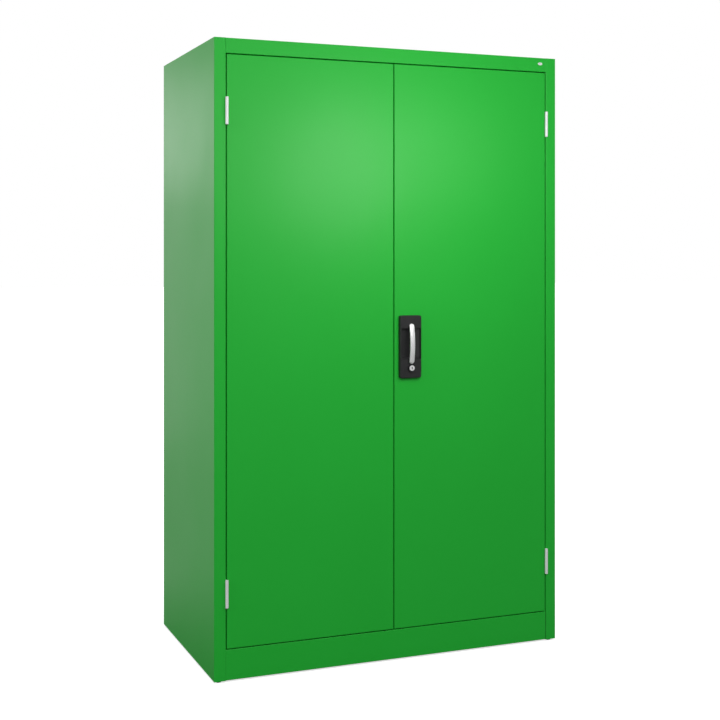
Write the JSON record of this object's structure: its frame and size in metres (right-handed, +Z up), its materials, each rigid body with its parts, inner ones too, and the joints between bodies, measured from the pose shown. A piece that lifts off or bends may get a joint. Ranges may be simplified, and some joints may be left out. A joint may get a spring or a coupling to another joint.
{
  "type": "tool cabinet",
  "caption": "Tall sheet-steel tool cabinet with two hinged doors, a turning handle with rack-and-pinion locking rods, adjustable shelves and levelling feet.",
  "frame": {"origin": "on the floor, in the middle of the box that holds the cabinet with its handle", "axes": "+X to the right of someone facing the doors, +Y to the back, +Z up"},
  "size_m": [1.2, 0.63, 1.956],
  "materials": {
    "powder_coat": "fine powder coat, half gloss",
    "zinc_sheet": "galvanised sheet",
    "hinge_steel": "bright zinc plate",
    "black_plastic": "fine grained moulding",
    "chrome": "satin chrome",
    "lock_steel": "zinc plated",
    "rubber": "matt",
    "foot_plastic": "moulded, satin"
  },
  "bodies": {
    "cabinet": {"side_panel_left": "powder_coat", "side_panel_right": "powder_coat", "top_panel": "powder_coat", "header_rail": "powder_coat", "header_stop": "powder_coat", "plinth_panel": "powder_coat", "floor_tray": "powder_coat", "back_panel": "powder_coat", "base_rail_rear": "powder_coat", "foot_brackets": "powder_coat", "shelf_rail_front_left": "zinc_sheet", "shelf_rail_front_right": "zinc_sheet", "shelf_rail_rear_left": "zinc_sheet", "shelf_rail_rear_right": "zinc_sheet", "shelf_1": "zinc_sheet", "shelf_2": "zinc_sheet", "shelf_3": "zinc_sheet", "shelf_4": "zinc_sheet", "shelf_clips": "zinc_sheet", "hinge_frame_leaf_upper_left": "hinge_steel", "hinge_frame_leaf_upper_right": "hinge_steel", "hinge_frame_leaf_lower_left": "hinge_steel", "hinge_frame_leaf_lower_right": "hinge_steel", "hinge_pins": "hinge_steel", "door_buffers": "rubber"},
    "left_door": {"left_door_panel": "powder_coat", "left_door_stiffener": "powder_coat", "hinge_door_leaf_upper_left": "hinge_steel", "hinge_door_leaf_lower_left": "hinge_steel", "left_bolt_guides": "lock_steel"},
    "right_door": {"right_door_panel": "powder_coat", "right_door_stiffener": "powder_coat", "hinge_door_leaf_upper_right": "hinge_steel", "hinge_door_leaf_lower_right": "hinge_steel", "handle_housing": "black_plastic", "gearbox_housing": "lock_steel", "gearbox_cover": "lock_steel", "housing_screws": "lock_steel", "rod_guides": "lock_steel", "lock_barrel": "chrome", "lock_nut": "lock_steel"},
    "handle": {"handle_bow": "chrome", "handle_spindle": "lock_steel", "pinion": "lock_steel"},
    "upper_rod": {"upper_rack": "lock_steel", "upper_rod": "lock_steel"},
    "lower_rod": {"lower_rack": "lock_steel", "lower_rod": "lock_steel", "catch_lugs": "lock_steel"},
    "centre_bolt": {"centre_bolt": "lock_steel"},
    "lock": {"lock_plug": "chrome", "lock_cam": "lock_steel"},
    "left_top_bolt": {"left_top_bolt": "lock_steel"},
    "left_bottom_bolt": {"left_bottom_bolt": "lock_steel"},
    "foot_front_left": {"levelling_foot_front_left": "foot_plastic"},
    "foot_front_right": {"levelling_foot_front_right": "foot_plastic"},
    "foot_rear_left": {"levelling_foot_rear_left": "foot_plastic"},
    "foot_rear_right": {"levelling_foot_rear_right": "foot_plastic"}
  },
  "joints": [
    {"name": "left_door_hinge", "type": "hinge", "parent": "cabinet", "child": "left_door", "pos_m": [-0.5614, -0.2905, 1.00425], "axis": [0, 0, -1], "range_deg": [0, 180]},
    {"name": "right_door_hinge", "type": "hinge", "parent": "cabinet", "child": "right_door", "pos_m": [0.5614, -0.2905, 1.00425], "axis": [0, 0, 1], "range_deg": [0, 180]},
    {"name": "handle_turn", "type": "hinge", "parent": "right_door", "child": "handle", "pos_m": [0.053, -0.285, 1.067], "axis": [0, -1, 0], "range_deg": [0, 90]},
    {"name": "upper_rod_slide", "type": "slide", "parent": "right_door", "child": "upper_rod", "axis": [0, 0, 1], "range_m": [0, 0.0177]},
    {"name": "lower_rod_slide", "type": "slide", "parent": "right_door", "child": "lower_rod", "axis": [0, 0, -1], "range_m": [0, 0.0177]},
    {"name": "centre_bolt_slide", "type": "slide", "parent": "right_door", "child": "centre_bolt", "axis": [-1, 0, 0], "range_m": [0, 0.0177]},
    {"name": "lock_turn", "type": "hinge", "parent": "right_door", "child": "lock", "pos_m": [0.053, -0.285, 0.9356], "axis": [0, 1, 0], "range_deg": [0, 90]},
    {"name": "left_top_bolt_slide", "type": "slide", "parent": "left_door", "child": "left_top_bolt", "axis": [0, 0, 1], "range_m": [0, 0.015]},
    {"name": "left_bottom_bolt_slide", "type": "slide", "parent": "left_door", "child": "left_bottom_bolt", "axis": [0, 0, -1], "range_m": [0, 0.015]},
    {"name": "foot_turn_front_left", "type": "hinge", "parent": "cabinet", "child": "foot_front_left", "pos_m": [-0.5815, -0.265, 0], "axis": [0, 0, 1], "continuous": true},
    {"name": "foot_turn_front_right", "type": "hinge", "parent": "cabinet", "child": "foot_front_right", "pos_m": [0.5815, -0.265, 0], "axis": [0, 0, 1], "continuous": true},
    {"name": "foot_turn_rear_left", "type": "hinge", "parent": "cabinet", "child": "foot_rear_left", "pos_m": [-0.5815, 0.295, 0], "axis": [0, 0, 1], "continuous": true},
    {"name": "foot_turn_rear_right", "type": "hinge", "parent": "cabinet", "child": "foot_rear_right", "pos_m": [0.5815, 0.295, 0], "axis": [0, 0, 1], "continuous": true}
  ],
  "couplings": [
    {"joint": "upper_rod_slide", "follows": "handle_turn", "m_per_rad": 0.01125},
    {"joint": "lower_rod_slide", "follows": "handle_turn", "m_per_rad": 0.01125},
    {"joint": "centre_bolt_slide", "follows": "handle_turn", "m_per_rad": 0.01125}
  ]
}
